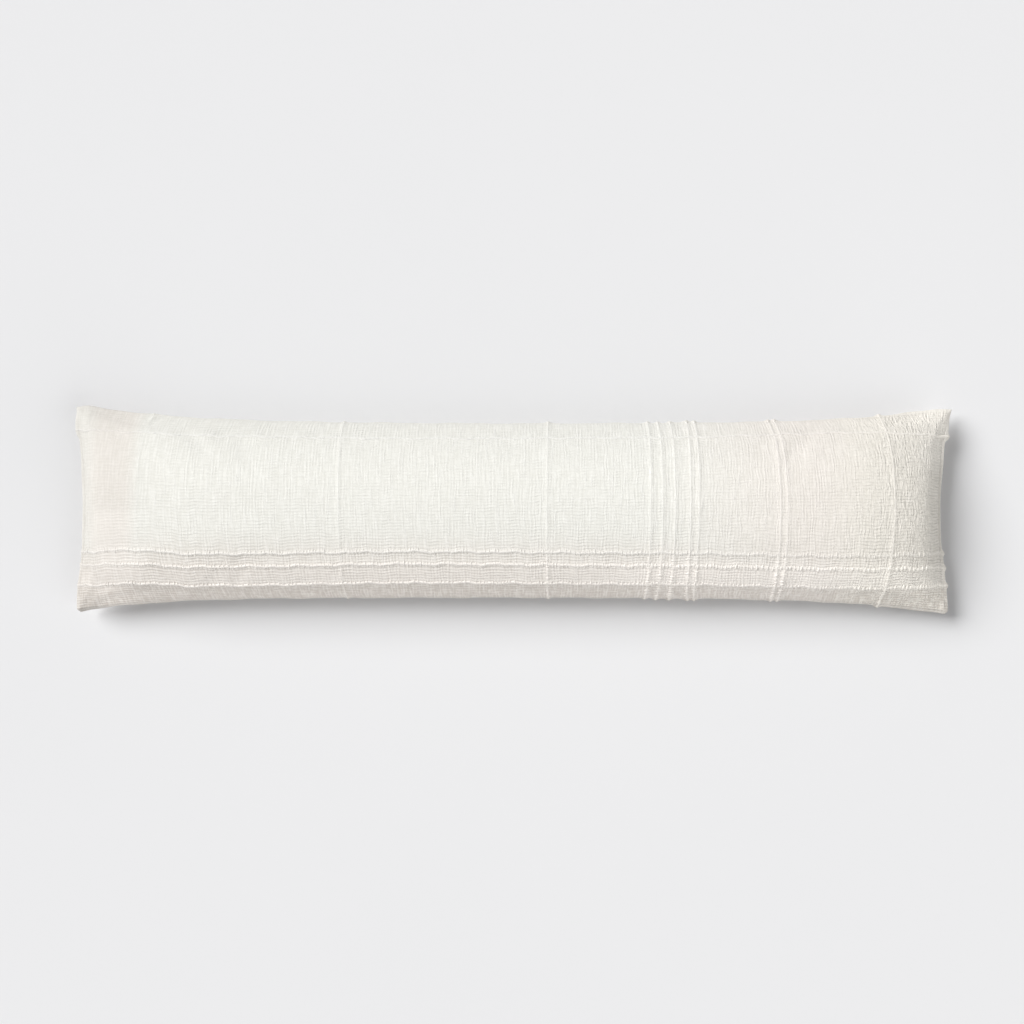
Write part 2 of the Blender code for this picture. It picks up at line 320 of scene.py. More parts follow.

# Bands: what each is measured by, where it begins and is whole, and its strength before it
# begins and where it is whole. Those of the weave are measured on the flat panel, those of
# the streaks by how strong the streaks are, and the painted shade in the gaps by how high
# the yarns stand.
WEAVE_BANDS = {
    "crinkled": ("along", CRINKLE_START, CRINKLE_END, 0.0, 1.0),
    "rough_end": ("along", 0.54, 0.68, 0.0, 1.0),
    "near": ("across", -0.045, -0.080, 0.0, 1.0),
    "nearest": ("across", -0.115, -0.140, 0.0, 1.0),
    "warp_relief": ("along", -0.70, -0.52, 0.22, 1.0),
    "weft_relief": ("along", -0.72, -0.60, 0.50, 1.0),
    "warp_shade": ("along", -0.60, -0.25, 0.3, 1.0),
    "free_of_seam": ("from_seam", 0.003, 0.009, 0.4, 1.0),
    # Painted shade along the seam's rim, strongest at the seam
    "painted_seam_shade": ("from_seam", 0.003, 0.009, 0.2, 0.0),
}
STREAK_BANDS = {
    "fat_warp": ("fat_warp", 0.38, 0.72, 0.0, 1.0),
    "fat_weft": ("fat_weft", 0.32, 0.78, 0.0, 1.0),
    "patch": ("patch", 0.38, 0.62, 0.35, 1.0),
}
GAP_SHADE_BANDS = {"gap_shade": ("crowns", 0.8, 2.3, 1.0, 0.0)}

# Relief of the weave: heights in mm of its yarns, fat streaks and crepe, and the share of the
# level yarns and of the whole. Each has a start, and what the bands and streaks add to it.
WARP_HEIGHT = {"start": 0.14, "crinkled": 0.10, "patch": -0.05}
WEFT_HEIGHT = {"start": 0.23, "patch": 0.12}
CREPE_HEIGHT = {"start": 0.06, "crinkled": 0.34, "rough_end": 1.85}
FAT_WARP_HEIGHT = 0.20
FAT_WEFT_HEIGHT = 0.22
LEVEL_SHARE = {"start": 1.0, "crinkled": 0.05, "rough_end": 1.0}
RELIEF_SHARE = {"start": 1.08, "near": 0.22}

# Colour of the weave: how pale the fat yarns are, how far each kind of yarn fills the gaps
# beside it, and how dark the painted shade in the gaps is
YARN_TONE = {"start": 0.0, "fat_weft": 0.4, "fat_warp": 0.6}
WARP_CROWN = {"start": 1.05, "nearest": -0.80}
WEFT_CROWN = 0.85
BLOTCH_CROWN = 1.2
GAP_SHADE_DEPTH = {"start": 0.06, "near": 0.20, "nearest": 0.22}

# Bands of painted light and shade in the cotton's colour, measured on the filled pillow: painted
# warm shade towards both ends and on the near side, painted shade at the left end, the right end
# and the far side, and painted light on the near side, by the left end and at the far right corner
PAINTED_LIGHT_AND_SHADE_BANDS = {
    "warm_shade_left": ("x", -0.622, -0.655, 0.0, 0.85),
    "inside_left": ("x", -0.735, -0.695, 0.4, 1.0),
    "warm_shade_right": ("x", 0.20, 0.50, 0.0, 1.0),
    "warm_shade_near": ("y", -0.02, -0.11, 0.0, 1.0),
    "shade_right_end": ("x", 0.50, 0.60, 0.0, 1.0),
    "painted_shade_left": ("x", -0.56, -0.73, 0.0, 1.0),
    "painted_shade_far": ("y", 0.050, 0.135, 0.0, 0.32),
    "painted_light_near": ("y", -0.055, -0.150, 0.0, 0.85),
    "less_at_left_seam": ("x", -0.740, -0.712, 0.45, 1.0),
    "left_start": ("x", -0.58, -0.66, 0.0, 1.0),
    "left_stop": ("x", -0.725, -0.690, 0.0, 1.0),
    "painted_light_left_middle": ("y", 0.012, -0.015, 0.0, 0.40),
    "painted_light_left_near": ("y", -0.030, -0.080, 0.0, 0.95),
    "left_near_side": ("y", -0.118, -0.140, 0.0, 1.0),
    "right_start": ("x", 0.03, 0.22, 0.0, 1.0),
    "painted_light_right_near": ("y", -0.066, -0.116, 0.0, 0.95),
    "painted_light_corner_along": ("x", 0.66, 0.72, 0.0, 1.0),
    "painted_light_corner_across": ("y", 0.05, 0.10, 0.0, 0.8),
}
# How much less painted shade the far side has at the right end
FAR_SHADE_LOSS_AT_END = 0.3

# Colours: the darker and paler yarns of each cotton, the painted light and shade that the bands
# mix in or multiply by, the painted shade in the gaps and along the seam's rim, and the floor
WEAVE_COLOURS = ("#E6E5DE", "#EFEEE8")
CORD_COLOURS = ("#E5E4DE", "#F2F1EC")
SLUB_COLOURS = ("#E2E1DB", "#F1F0EB")
PAINTED_LIGHT_COLOUR = "#FCFBF5"
WARM_SHADE_TINT = "#FFFAF9"
END_SHADE_TINT = "#FFFBF8"
PAINTED_SHADE_TINT = "#E7E7E7"
GAP_SHADE_TINT = "#B9AFA6"
SEAM_SHADE_COLOUR = "#CFCCC6"
FLOOR_COLOURS = ("#E2E2E3", "#E4E4E5")

# Finishes; a turn of a yarn's twist, how much it shows, and its fluff, 700 tufts to a metre;
# and the floor's grain, three patches to two metres
WEAVE_FINISH = {
    "Roughness": 0.88, "Sheen Weight": 0.15, "Sheen Roughness": 0.5, "Specular IOR Level": 0.25,
}
YARN_FINISH = {
    "Roughness": 0.9, "Sheen Weight": 0.2, "Sheen Roughness": 0.5, "Specular IOR Level": 0.2,
}
FLOOR_FINISH = {"Roughness": 0.9, "Specular IOR Level": 0.1}
TWIST_PITCH = 0.0035
TWIST_SHARE = 0.25
FIBRE_SCALE = 700.0
FLOOR_GRAIN_SCALE = 1.5

# Camera and light
CAMERA_PLACE = (-0.0040, -0.00275, 2.488)
CAMERA_LENS = 50
CAMERA_SENSOR = 36
CAMERA_CLIP_END = 100
FLOOR_SIZE = 40
LIGHT_DISTANCE = 4
LIGHTS = {
    "soft_key": {"azimuth": 150, "elevation": 39.5, "spread": 35, "strength": 3.47},
    "low_fill": {"azimuth": -40, "elevation": 22, "spread": 70, "strength": 1.26},
}
EVEN_LIGHT = 0.24


def linear(hex_colour):
    """Linear colour, with alpha, of an sRGB hex colour."""
    values = []
    for start in (1, 3, 5):
        value = int(hex_colour[start:start + 2], 16) / 255
        values.append(value / 12.92 if value <= 0.04045 else ((value + 0.055) / 1.055) ** 2.4)
    return (*values, 1.0)


def smooth_step(part):
    """Smooth rise from 0 to 1 as a part goes from 0 to 1."""
    part = np.clip(part, 0, 1)
    return part * part * (3 - 2 * part)


def mean_turn(slope_at, span):
    """Mean cosine and sine of a slope over the shares 0 to 1 of each span."""
    shares = (np.arange(PROFILE_STEPS) + 0.5) / PROFILE_STEPS
    slopes = slope_at(shares * np.asarray(span, float)[..., None])
    return np.cos(slopes).mean(axis=-1), np.sin(slopes).mean(axis=-1)


def side_slope(share):
    """Slope of the full section at a share 0 to 1 of the way from crown to side seam."""
    return SEAM_SLOPE * (CROWN_SHARE * share + (1 - CROWN_SHARE) * share ** CROWN_POWER)


def end_slope(distance):
    """Slope of the mid-length profile at a distance along the cloth from the end seam."""
    return END_SLOPE * np.exp(-distance / END_REACH)


def reach_and_rise(distance):
    """Level run and height of the mid-length profile at a distance from the end seam."""
    run, rise = mean_turn(end_slope, distance)
    return distance * run, distance * rise


CROWN_HEIGHT = HALF_WIDTH * mean_turn(side_slope, 1)[1]
FULL_RUN, FULL_RISE = reach_and_rise(HALF_LENGTH)
END_DRAW_IN = HALF_LENGTH - FULL_RUN


def crown_share(share):
    """Bulge at a share of the half-width, as a share 0 to 1 of the crown's."""
    return 1 - HALF_WIDTH * share * mean_turn(side_slope, share)[1] / CROWN_HEIGHT


def place_across(share, distance):
    """Level distance from the long axis to a share of the half-width."""
    strength = 1 - np.exp(-(distance / FILL_REACH) ** FILL_POWER)
    steps = (np.arange(PROFILE_STEPS) + 0.5) / PROFILE_STEPS
    slopes = strength[..., None] * side_slope(steps * share[..., None])
    return HALF_WIDTH * share * np.cos(slopes).mean(axis=-1)


def corner_tips(along, across):
    """How far the nearest corner's own shape moves each flat place outwards."""
    away = np.hypot(HALF_LENGTH - np.abs(along), HALF_WIDTH - np.abs(across))
    strength = np.exp(-(away / TIP_REACH) ** 2)
    tip_along = np.zeros_like(along)
    tip_across = np.zeros_like(along)
    for (end, side), corner in CORNERS.items():
        here = ((along > 0) == (end == "right")) & ((across > 0) == (side == "far"))
        tip_along += np.where(here, corner["along"] * strength, 0)
        tip_across += np.where(here, corner["across"] * strength, 0)
    return tip_along, tip_across


def band_flare(distance, across):
    """How far the slack band by the thin long cord stands out at an end."""
    rise = smooth_step((across - FLARE_START) / FLARE_STEP + 0.5)
    fade = 1 - smooth_step((across - FLARE_FADE_START) / FLARE_FADE)
    return FLARE * rise * fade * np.exp(-distance / FLARE_DEPTH)


def pressed_flat(height):
    """Height above the floor of points of the back that the floor holds up."""
    blended = (height + FLOOR_BLEND) ** 2 / (4 * FLOOR_BLEND)
    low = np.where(height <= -FLOOR_BLEND, 0.0, blended)
    return np.where(height < FLOOR_BLEND, low, height)


def cloth_points(along, across, face):
    """Points of the filled pillow at flat places; face is 1 on top and -1 at the back."""
    share = np.minimum(np.abs(across) / HALF_WIDTH, 1)
    distance = np.maximum(HALF_LENGTH - np.abs(along), 0)
    towards_end = np.abs(along) / HALF_LENGTH
    inner_distance = np.maximum(distance - LIP_WIDTH, 0)
    inner_share = np.minimum(share * HALF_WIDTH / (HALF_WIDTH - LIP_WIDTH), 1)

    run, rise = reach_and_rise(inner_distance)
    draw_in = np.where(along > 0, RIGHT_DRAW_IN, LEFT_DRAW_IN) + SEAM_SHORTENING
    middle_draw = (END_DRAW_IN - inner_distance + run) * draw_in / END_DRAW_IN
    seam_draw = SEAM_SHORTENING * towards_end ** SHORTENING_POWER
    drawn = seam_draw * share ** 2 + middle_draw * (1 - share ** 2)
    tip_along, tip_across = corner_tips(along, across)
    outward = band_flare(distance, across) + tip_along - drawn
    x = np.copysign(np.abs(along) + outward, along)

    bow = np.where(along > 0, RIGHT_BOW, LEFT_BOW) * towards_end ** 2
    y = np.copysign(place_across(share, distance) + tip_across, across) + bow

    sag = (SEAM_HEIGHT - END_SEAM_HEIGHT) * np.exp(-distance / END_SAG_REACH)
    droop = CORNER_DROP * np.exp(-distance / CORNER_REACH) * share ** 3
    bulge = LIP_THICKNESS / 2 + CROWN_HEIGHT * crown_share(inner_share) * rise / FULL_RISE
    z = pressed_flat(SEAM_HEIGHT - sag - droop + face * bulge)
    return np.stack((x, y, z), axis=-1) - BOX_MIDDLE


def wander(run, seed):
    """How far a cord wanders aside at places along its run."""
    aside = 0.0
    for index, (length, size) in enumerate(WANDER_WAVES):
        aside = aside + size * np.sin(math.tau * run / length + seed * (2.3 + index))
    return aside


def cross_lean(cord, across):
    """How far a cross cord leans along the length, away from its place at mid-width."""
    share = across / HALF_WIDTH
    slant = (cord["far"] - cord["near"]) / 2
    bend = (cord["far"] + cord["near"]) / 2 - cord["middle"]
    swing = cord.get("swing", 0.0) * np.maximum(-share, 0) ** SWING_POWER
    own_wander = CROSS_WANDER * wander(across, 31 * cord["middle"]) * (1 - share ** 4)
    return slant * share + bend * share ** 2 + swing + own_wander


def long_cord_place(cord, along):
    """Flat place across the width of a long cord, at places along the length."""
    index = np.clip(np.searchsorted(STATIONS, along) - 1, 0, len(STATIONS) - 2)
    stations = np.array(STATIONS)
    across = np.array(cord["across"])
    part = (along - stations[index]) / (stations[index + 1] - stations[index])
    base = across[index] + (across[index + 1] - across[index]) * smooth_step(part)
    return base + wander(along, 97 * cord["across"][0])


def row_of(cord):
    """The row of the cloth that a long cord is."""
    return float(long_cord_place(cord, np.array(0.0)))


def flat_places(columns, rows):
    """Flat places of woven lines: each column leans and each row sways with its cords."""
    along = np.zeros((len(columns), len(rows)))
    across = np.zeros((len(columns), len(rows)))
    column_spots = [-HALF_LENGTH] + [cord["middle"] for cord in CROSS_CORDS] + [HALF_LENGTH]
    leans = np.array([np.zeros(len(rows))] + [cross_lean(cord, rows) for cord in CROSS_CORDS]
                     + [np.zeros(len(rows))])
    for index in range(len(rows)):
        along[:, index] = columns + np.interp(columns, column_spots, leans[:, index])
    cords = LONG_CORDS[::-1]
    row_spots = [-HALF_WIDTH] + [row_of(cord) for cord in cords] + [HALF_WIDTH]
    still = np.zeros(len(columns))
    sways = np.array([still] + [long_cord_place(cord, columns) - row_of(cord) for cord in cords]
                     + [still])
    for index in range(len(columns)):
        across[index] = rows + np.interp(rows, row_spots, sways[:, index])
    return along, across


def grid_lines(half, cords):
    """Lines of the cover's grid over one side of the panel, finer at its rims and cords."""
    lines = []
    for cord in cords:
        lines += [cord + step for step in CORD_STEPS]
    for step in RIM_STEPS:
        lines += [step - half, half - step]
    lines.sort()
    kept = [lines[0]]
    for line in lines[1:]:
        is_own = min(abs(line - cord) for cord in cords) < SAME_PLACE
        if is_own and line - kept[-1] <= LINE_CLEARANCE / 2:
            kept[-1] = line
        elif line - kept[-1] > LINE_CLEARANCE / 2:
            kept.append(line)
    fill = np.linspace(-half, half, round(2 * half / GRID_STEP) + 1)
    kept += [line for line in fill if min(abs(line - other) for other in kept) > LINE_CLEARANCE]
    return np.array(sorted(kept))


def rounded_corners(along, across):
    """Flat places with the panel's four corners rounded."""
    along = along.copy()
    across = across.copy()
    for (end, side), corner in CORNERS.items():
        x_sign = 1 if end == "right" else -1
        y_sign = 1 if side == "far" else -1
        radius = corner["radius"]
        in_x = along * x_sign - (HALF_LENGTH - radius)
        in_y = across * y_sign - (HALF_WIDTH - radius)
        here = (in_x > 0) & (in_y > 0)
        x_part = in_x[here]
        y_part = in_y[here]
        scale = np.maximum(x_part, y_part) / np.hypot(x_part, y_part)
        along[here] = x_sign * (HALF_LENGTH - radius + x_part * scale)
        across[here] = y_sign * (HALF_WIDTH - radius + y_part * scale)
    return along, across


def between(lines, spots):
    """Index of the grid line before each spot, and how far the spot is towards the next one."""
    index = np.clip(np.searchsorted(lines, spots) - 1, 0, len(lines) - 2)
    return index, (spots - lines[index]) / (lines[index + 1] - lines[index])


class Panel:
    """One sewn and filled panel: its grid of woven lines, its points and outward directions."""

    def __init__(self, columns, rows, points, face):
        self.columns = columns
        self.rows = rows
        self.points = points
        self.face = face
        self.find_normals()

    def find_normals(self):
        normals = np.cross(np.gradient(self.points, axis=0), np.gradient(self.points, axis=1))
        normals *= self.face
        self.normals = normals / np.linalg.norm(normals, axis=-1, keepdims=True)

    def raise_by(self, height):
        """Move each point outwards by a height, and down onto the floor at the lowest."""
        self.points = self.points + self.normals * height[..., None]
        self.points[..., 2] = np.maximum(self.points[..., 2], 0)
        self.find_normals()

    def laid(self, columns, rows, lift):
        """Points at a lift above the cloth, at woven places."""
        i, part = between(self.columns, columns)
        j, side_part = between(self.rows, rows)
        part = part[:, None]
        side_part = side_part[:, None]
        found = []
        for values in (self.points, self.normals):
            near = values[i, j] * (1 - part) + values[i + 1, j] * part
            far = values[i, j + 1] * (1 - part) + values[i + 1, j + 1] * part
            found.append(near * (1 - side_part) + far * side_part)
        return found[0] + found[1] * np.asarray(lift)[:, None]


def knot_share(cord, rows):
    """Share by which a cross cord is thicker, at its knots and towards the near seam."""
    share = NEAR_THICKENING * smooth_step((THICKENING_START - rows) / THICKENING_FADE)
    for place, size in cord.get("knots", ()):
        share = share + size * np.exp(-((rows - place) / KNOT_LENGTH) ** 2)
    return share


def cord_swell(columns, rows):
    """How far the cloth of the top panel swells over its cords."""
    swell = np.zeros((len(columns), len(rows)))
    for cord in CROSS_CORDS:
        part = (columns - cord["middle"]) / (cord["radius"] * SWELL_WIDTH)
        crest = SWELL_SHARE * cord["radius"] * (1 + knot_share(cord, rows))
        swell = np.maximum(swell, np.exp(-part ** 2)[:, None] * crest[None, :])
    for cord in LONG_CORDS:
        part = (rows - row_of(cord)) / (cord["radius"] * SWELL_WIDTH)
        loss = CRINKLED_SWELL_LOSS * crinkle(columns) + CALM_SWELL_LOSS * left_calm(columns)
        crest = (LONG_SWELL_SHARE - loss) * cord["radius"]
        swell = np.maximum(swell, crest[:, None] * np.exp(-part ** 2)[None, :])
    return swell


def rim_distance(columns, rows):
    """Distance of each woven place from the nearest seam, over the flat panel."""
    from_end = HALF_LENGTH - np.abs(columns)
    from_side = HALF_WIDTH - np.abs(rows)
    return np.minimum(from_end[:, None], from_side[None, :])


def fold_relief(along, across):
    """Height of the listed folds and dents at flat places."""
    relief = np.zeros_like(along)
    for fold in FOLDS:
        turn = math.radians(fold["turn"])
        x = along - fold["place"][0]
        y = across - fold["place"][1]
        run = (x * math.cos(turn) + y * math.sin(turn)) / fold["size"][0]
        aside = (y * math.cos(turn) - x * math.sin(turn)) / fold["size"][1]
        relief += fold["height"] * np.exp(-run ** 2 - aside ** 2)
    return relief


def rim_ring(column_count, row_count):
    """Indices of a panel's rim points, in order round it."""
    ring = [(i, 0) for i in range(column_count)]
    ring += [(column_count - 1, j) for j in range(1, row_count)]
    ring += [(i, row_count - 1) for i in range(column_count - 2, -1, -1)]
    ring += [(0, j) for j in range(row_count - 2, 0, -1)]
    return [i * row_count + j for i, j in ring]


def panel_faces(column_count, row_count, ring, seam_start):
    """Faces of both panels and of the seam between them, all outwards."""
    count = column_count * row_count
    faces = []
    for i in range(column_count - 1):
        for j in range(row_count - 1):
            a = i * row_count + j
            b = a + row_count
            faces.append((a, b, b + 1, a + 1))
            faces.append((count + a, count + a + 1, count + b + 1, count + b))
    for k, start in enumerate(ring):
        after = ring[(k + 1) % len(ring)]
        middle = seam_start + k
        middle_after = seam_start + (k + 1) % len(ring)
        faces.append((start, middle, middle_after, after))
        faces.append((middle, count + start, count + after, middle_after))
    return faces


def placed(name, data):
    """A new object in the scene, with its data."""
    made = bpy.data.objects.new(name, data)
    bpy.context.scene.collection.objects.link(made)
    return made


def new_mesh_object(name, points, faces):
    """A new object in the scene, with a mesh of the points and faces."""
    mesh = bpy.data.meshes.new(name)
    mesh.from_pydata(points, [], faces)
    mesh.update()
    return placed(name, mesh)


def blurred(values, step, reach):
    """A grid of values blurred evenly over a reach, along both of its directions."""
    size = max(1, round(3 * reach / step))
    offsets = np.arange(-size, size + 1) * step
    weights = np.exp(-0.5 * (offsets / reach) ** 2)
    weights /= weights.sum()
    for axis in (0, 1):
        padding = [(0, 0), (0, 0)]
        padding[axis] = (size, size)
        padded = np.pad(values, padding, mode="edge")
        values = np.apply_along_axis(np.convolve, axis, padded, weights, mode="valid")
    return values


def blown_up(panels, along, across):
    """Points of both panels once a cloth simulation has blown them up from inside.

    The cloth starts as the filled shape, and has the lengths that the flat panels have.
    """
    ring = rim_ring(*along.shape)
    tops, backs = (panel.points.reshape(-1, 3) for panel in panels)
    points = np.concatenate((tops, backs, (tops[ring] + backs[ring]) / 2))
    faces = panel_faces(*along.shape, ring, 2 * len(tops))
    cushion = new_mesh_object("filling_trial", points.tolist(), faces)

    flat = np.stack((along, across, np.zeros_like(along)), axis=-1).reshape(-1, 3)
    lift = np.array((0, 0, LIP_THICKNESS / 2))
    flat_points = np.concatenate((flat + lift, flat - lift, flat[ring]))
    cushion.shape_key_add(name="filled")
    cut = cushion.shape_key_add(name="flat_panels")
    cut.data.foreach_set("co", flat_points.astype(np.float32).ravel())
    cut.value = 0.0
    cloth = cushion.modifiers.new("filling", "CLOTH")
    cloth.settings.rest_shape_key = cut
    for name, value in PUCKER_CLOTH.items():
        setattr(cloth.settings, name, value)
    cloth.settings.effector_weights.gravity = 0
    cloth.point_cache.frame_start = 1
    cloth.point_cache.frame_end = PUCKER_FRAMES
    scene = bpy.context.scene
    for number in range(1, PUCKER_FRAMES + 1):
        scene.frame_set(number)
    filled = cushion.evaluated_get(bpy.context.evaluated_depsgraph_get())
    moved = np.zeros(len(points) * 3, np.float32)
    filled.to_mesh().vertices.foreach_get("co", moved)
    filled.to_mesh_clear()
    scene.frame_set(1)
    bpy.data.objects.remove(cushion)
    return moved.reshape(-1, 3)[:2 * len(tops)].reshape(2, *along.shape, 3)


def puckers():
    """Heights that filling the cover gives both panels, on an even grid of its own.

    What is wider than a pucker is taken off again, as the shape has it already.
    """
    columns = np.linspace(-HALF_LENGTH, HALF_LENGTH, round(PANEL_LENGTH / PUCKER_STEP) + 1)
    rows = np.linspace(-HALF_WIDTH, HALF_WIDTH, round(PANEL_WIDTH / PUCKER_STEP) + 1)
    along, across = np.meshgrid(columns, rows, indexing="ij")
    panels = [Panel(columns, rows, cloth_points(along, across, face), face) for face in (1, -1)]
    heights = []
    for panel, points in zip(panels, blown_up(panels, along, across)):
        height = ((points - panel.points) * panel.normals).sum(axis=-1)
        wide = blurred(height, PUCKER_STEP, PUCKER_WIDE)
        height = blurred(height, PUCKER_STEP, PUCKER_NARROW) - wide
        heights.append(PUCKER_CAP * np.tanh(height / PUCKER_CAP))
    return columns, rows, heights


def finely(lines, coarse_lines, values, axis):
    """A grid of values on finer lines, along one direction, as a smooth curve."""
    values = np.moveaxis(values, axis, 0)
    index, part = between(coarse_lines, lines)
    last = len(coarse_lines) - 1
    before = values[np.maximum(index - 1, 0)]
    start = values[index]
    end = values[index + 1]
    after = values[np.minimum(index + 2, last)]
    part = part[:, None]
    result = start + 0.5 * part * (end - before + part * (
        2 * before - 5 * start + 4 * end - after + part * (3 * (start - end) + after - before)))
    return np.moveaxis(result, 0, axis)


def filled_panels():
    """Both panels of the cover with their cords, seam, folds and puckers."""
    columns = grid_lines(HALF_LENGTH, [cord["middle"] for cord in CROSS_CORDS])
    rows = grid_lines(HALF_WIDTH, [row_of(cord) for cord in LONG_CORDS])
    along, across = rounded_corners(*flat_places(columns, rows))
    top = Panel(columns, rows, cloth_points(along, across, 1), 1)
    back = Panel(columns, rows, cloth_points(along, across, -1), -1)

    rim = rim_distance(columns, rows)
    stitching = -STITCH_DEPTH * np.exp(-((rim - LIP_WIDTH) / STITCH_WIDTH) ** 2)
    top_relief = cord_swell(columns, rows) + fold_relief(along, across) + stitching
    back_relief = stitching
    coarse_columns, coarse_rows, heights = puckers()
    free = smooth_step(rim / PUCKER_FADE)
    for relief, panel, height in zip((top_relief, back_relief), (top, back), heights):
        fine = finely(columns, coarse_columns, height, 0)
        fine = finely(rows, coarse_rows, fine, 1)
        off_floor = smooth_step(panel.points[..., 2] / PUCKER_FLOOR_FADE)
        relief += PUCKER_SHARE * fine * free * off_floor
    top.raise_by(top_relief)
    back.raise_by(back_relief)
    in_lip = np.maximum(1 - rim / LIP_WIDTH, 0)
    in_near_lip = np.maximum(1 - (HALF_WIDTH + rows[None, :]) / LIP_WIDTH, 0)
    drooped = LIP_DROOP * in_lip ** LIP_DROOP_POWER
    drooped = drooped + NEAR_DROOP * in_near_lip ** NEAR_DROOP_POWER
    for panel in (top, back):
        panel.points[..., 2] -= drooped
        panel.find_normals()
    return top, back, rim


def seam_edge(top, back, ring):
    """Points of the seam's edge, halfway between the panels, and its level outward directions."""
    tops = top.points.reshape(-1, 3)[ring]
    backs = back.points.reshape(-1, 3)[ring]
    seam = (tops + backs) / 2
    tangents = np.roll(seam, -1, axis=0) - np.roll(seam, 1, axis=0)
    outwards = np.stack((tangents[:, 1], -tangents[:, 0], np.zeros(len(ring))), axis=-1)
    return seam, outwards / np.linalg.norm(outwards, axis=-1, keepdims=True)


def edge_bumps(column, row):
    """How far the seam's edge stands out at woven places, at cord ends and in slow waves."""
    bump = np.zeros(len(column))
    on_side = np.where(np.abs(row) > HALF_WIDTH - SAME_PLACE, END_BUMP, 0)
    on_end = np.where(column > HALF_LENGTH - SAME_PLACE, END_BUMP, 0)
    on_end = np.where(column < SAME_PLACE - HALF_LENGTH, LEFT_END_BUMP, on_end)
    ends = [(column - cord["middle"], cord["radius"], on_side) for cord in CROSS_CORDS]
    ends += [(row - row_of(cord), cord["radius"], on_end) for cord in LONG_CORDS]
    for aside, radius, strength in ends:
        part = aside / (END_BUMP_WIDTH * radius)
        bump = np.maximum(bump, strength * radius * np.exp(-part ** 2))
    for length, size in EDGE_WAVES:
        bump += size * np.sin(math.tau * (column + EDGE_WAVE_SLANT * row) / length)
    return bump


def build_cover(top, back, rim):
    """The sewn and filled cover, a closed mesh with the flat places as its UV map."""
    columns, rows = top.columns, top.rows
    ring = rim_ring(len(columns), len(rows))
    places = np.stack(np.meshgrid(columns, rows, indexing="ij"), axis=-1).reshape(-1, 2)
    seam, outwards = seam_edge(top, back, ring)
    push = outwards * edge_bumps(*places[ring].T)[:, None]
    tops = top.points.reshape(-1, 3)
    backs = back.points.reshape(-1, 3)
    tops[ring] += push
    backs[ring] += push
    seam += push + outwards * SEAM_ROLL

    points = np.concatenate((tops, backs, seam))
    shift = np.array((0.0, BACK_PANEL_SHIFT))
    flat = np.concatenate((places, places + shift, places[ring]))
    faces = panel_faces(len(columns), len(rows), ring, 2 * len(tops))
    cover = new_mesh_object("pillow_cover", points.tolist(), faces)
    uv = cover.data.uv_layers.new(name="weave")
    indices = np.zeros(len(cover.data.loops), int)
    cover.data.loops.foreach_get("vertex_index", indices)
    uv.data.foreach_set("uv", flat[indices].astype(np.float32).ravel())
    rims = np.concatenate((rim.ravel(), rim.ravel(), np.zeros(len(ring))))
    from_seam = cover.data.attributes.new("from_seam", "FLOAT", "POINT")
    from_seam.data.foreach_set("value", rims.astype(np.float32))
    cover.data.shade_smooth()
    return cover


def add_node(tree, kind, inputs=None, **settings):
    """A node of a kind, with its settings, and its inputs as values or links."""
    node = tree.nodes.new(kind)
    for name, value in settings.items():
        setattr(node, name, value)
    for key, value in (inputs or {}).items():
        if isinstance(value, bpy.types.NodeSocket):
            tree.links.new(value, node.inputs[key])
        else:
            node.inputs[key].default_value = value
    return node


def worked(tree, value, *sums):
    """A value after some sums in turn, each an operation and its other numbers or links."""
    for operation, *others in sums:
        numbers = dict(enumerate((value, *others)))
        value = add_node(tree, "ShaderNodeMath", numbers, operation=operation).outputs[0]
    return value


def uneven_thickness(tree, given, run):
    """A yarn's radius along its run, with nubs at a pitch and slubs at random."""
    place = tree.nodes.new("GeometryNodeInputPosition").outputs[0]
    uneven = add_node(
        tree, "ShaderNodeTexNoise",
        {"Vector": place, "W": given["Seed"], "Scale": UNEVEN_SCALE, "Detail": 2.0},
        noise_dimensions="4D",
    ).outputs["Fac"]
    turns = worked(tree, run, ("DIVIDE", given["Nub Pitch"]))
    turns = worked(tree, uneven, ("MULTIPLY_ADD", NUB_SHIFT, turns))
    nub = worked(tree, turns, ("MULTIPLY", math.pi), ("SINE",), ("ABSOLUTE",),
                 ("SUBTRACT", NUB_LEVEL), ("MULTIPLY", given["Nub Depth"]))
    slub = worked(tree, uneven, ("SUBTRACT", 0.5), ("MULTIPLY", given["Slub Depth"]))
    share = worked(tree, nub, ("ADD", slub), ("ADD", 1.0))
    radius = tree.nodes.new("GeometryNodeInputRadius").outputs[0]
    return worked(tree, radius, ("MULTIPLY", share))


